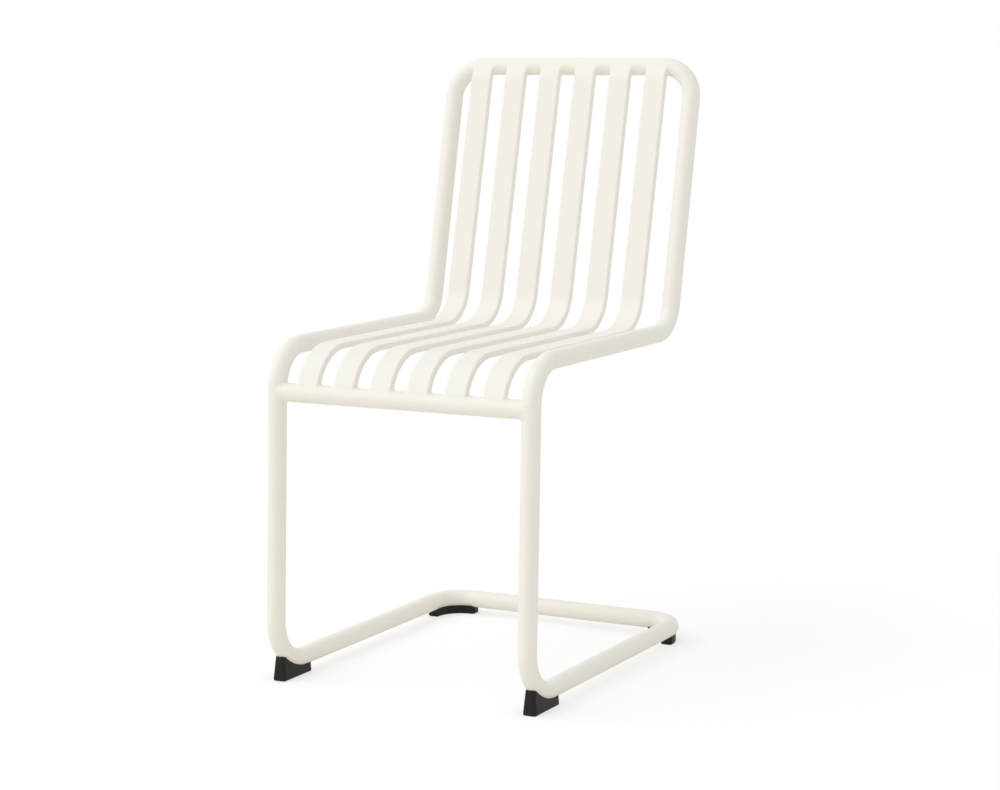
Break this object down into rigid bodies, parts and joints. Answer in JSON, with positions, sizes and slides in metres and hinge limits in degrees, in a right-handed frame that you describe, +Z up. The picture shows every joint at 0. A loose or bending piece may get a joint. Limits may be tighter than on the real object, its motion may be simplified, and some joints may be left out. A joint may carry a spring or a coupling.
{
  "type": "cantilever chair",
  "caption": "Outdoor cantilever side chair of bent round steel tube, with folded steel slats running over the seat and up the back, on black moulded floor glides.",
  "frame": {"origin": "on the floor, under the middle of the chair's outline", "axes": "+Z up, the sitter faces -Y with the back towards +Y, X runs across the chair"},
  "size_m": [0.407, 0.5363, 0.825],
  "materials": {
    "powder_coat": "satin cream powder coat over steel",
    "bare_steel": "plain drawn steel",
    "glide_plastic": "matt black moulded plastic"
  },
  "bodies": {
    "root": {"upper_tube": "powder_coat", "base_tube": "powder_coat", "front_rail": "powder_coat", "seat_cross_bar": "powder_coat", "slat_1": "powder_coat", "slat_2": "powder_coat", "slat_3": "powder_coat", "slat_4": "powder_coat", "slat_5": "powder_coat", "slat_6": "powder_coat", "joint_sleeve_left": "bare_steel", "joint_sleeve_right": "bare_steel", "glide_front_left": "glide_plastic", "glide_front_right": "glide_plastic", "glide_rear_left": "glide_plastic", "glide_rear_right": "glide_plastic"}
  },
  "joints": []
}
